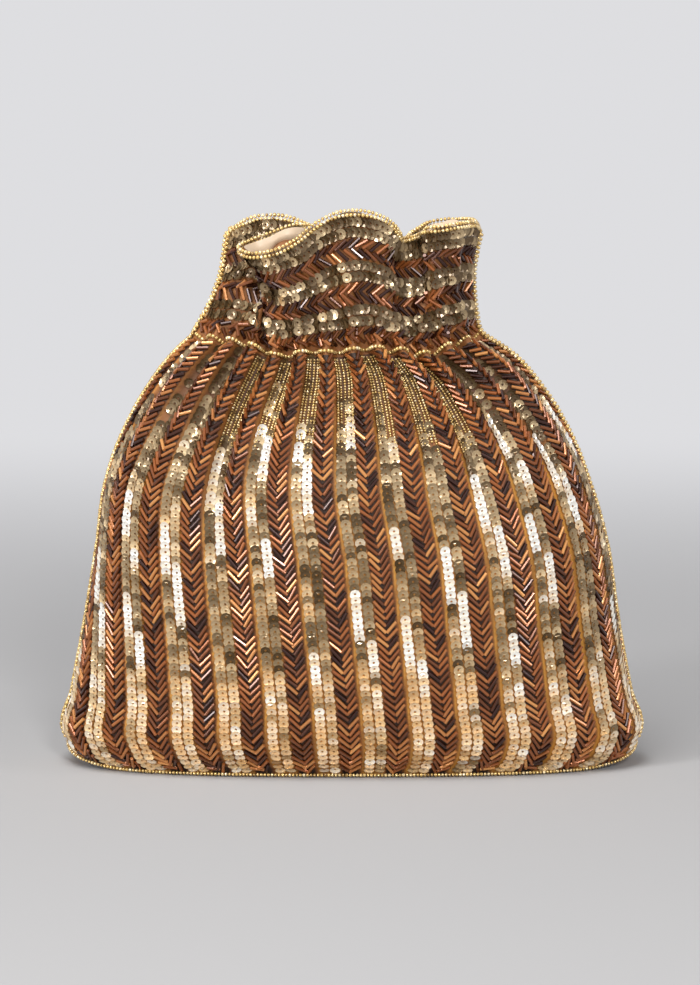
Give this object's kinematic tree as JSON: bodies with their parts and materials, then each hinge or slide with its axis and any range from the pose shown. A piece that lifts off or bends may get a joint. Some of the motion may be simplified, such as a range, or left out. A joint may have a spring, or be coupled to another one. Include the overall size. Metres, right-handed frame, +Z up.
{
  "type": "potli bag",
  "caption": "Beaded potli bag: striped panels of slanted bugle beads and sequins, gathered at the neck under an open, fluted collar with a satin lining.",
  "frame": {"origin": "centre of the bounding box's bottom face, on the flat base under the bag", "axes": "+X from the left side seam to the right as seen from the front, along the bag's width; +Y from the front panel to the back panel, through the bag's depth; +Z up, from the base to the open rim"},
  "size_m": [0.2349, 0.0941, 0.2255],
  "materials": {
    "bugle_beads": "cloth covered with slanted copper-brown bugle beads, with a mustard silk ground between them",
    "sequins": "overlapping pale gold cup sequins",
    "seed_beads": "gold lined glass seed beads",
    "satin": "smooth beige satin"
  },
  "bodies": {
    "root": {"front_panel": "bugle_beads", "back_panel": "bugle_beads", "collar_front": "bugle_beads", "collar_back": "bugle_beads", "lining": "satin", "sequin_row_front_01": "sequins", "sequin_row_front_02": "sequins", "sequin_row_front_03": "sequins", "sequin_row_front_04": "sequins", "sequin_row_front_05": "sequins", "sequin_row_front_06": "sequins", "sequin_row_front_07": "sequins", "sequin_row_front_08": "sequins", "sequin_row_front_09": "sequins", "sequin_row_front_10": "sequins", "sequin_row_front_11": "sequins", "sequin_row_front_12": "sequins", "sequin_row_front_13": "sequins", "sequin_row_front_14": "sequins", "sequin_row_back_01": "sequins", "sequin_row_back_02": "sequins", "sequin_row_back_03": "sequins", "sequin_row_back_04": "sequins", "sequin_row_back_05": "sequins", "sequin_row_back_06": "sequins", "sequin_row_back_07": "sequins", "sequin_row_back_08": "sequins", "sequin_row_back_09": "sequins", "sequin_row_back_10": "sequins", "sequin_row_back_11": "sequins", "sequin_row_back_12": "sequins", "sequin_row_back_13": "sequins", "sequin_row_back_14": "sequins", "collar_sequins_front_low": "sequins", "collar_sequins_front_middle": "sequins", "collar_sequins_front_top": "sequins", "collar_sequins_back_low": "sequins", "collar_sequins_back_middle": "sequins", "collar_sequins_back_top": "sequins", "rim_beading": "seed_beads", "neck_beading": "seed_beads", "side_beading_left": "seed_beads", "side_beading_right": "seed_beads", "bottom_beading": "seed_beads"}
  },
  "joints": []
}
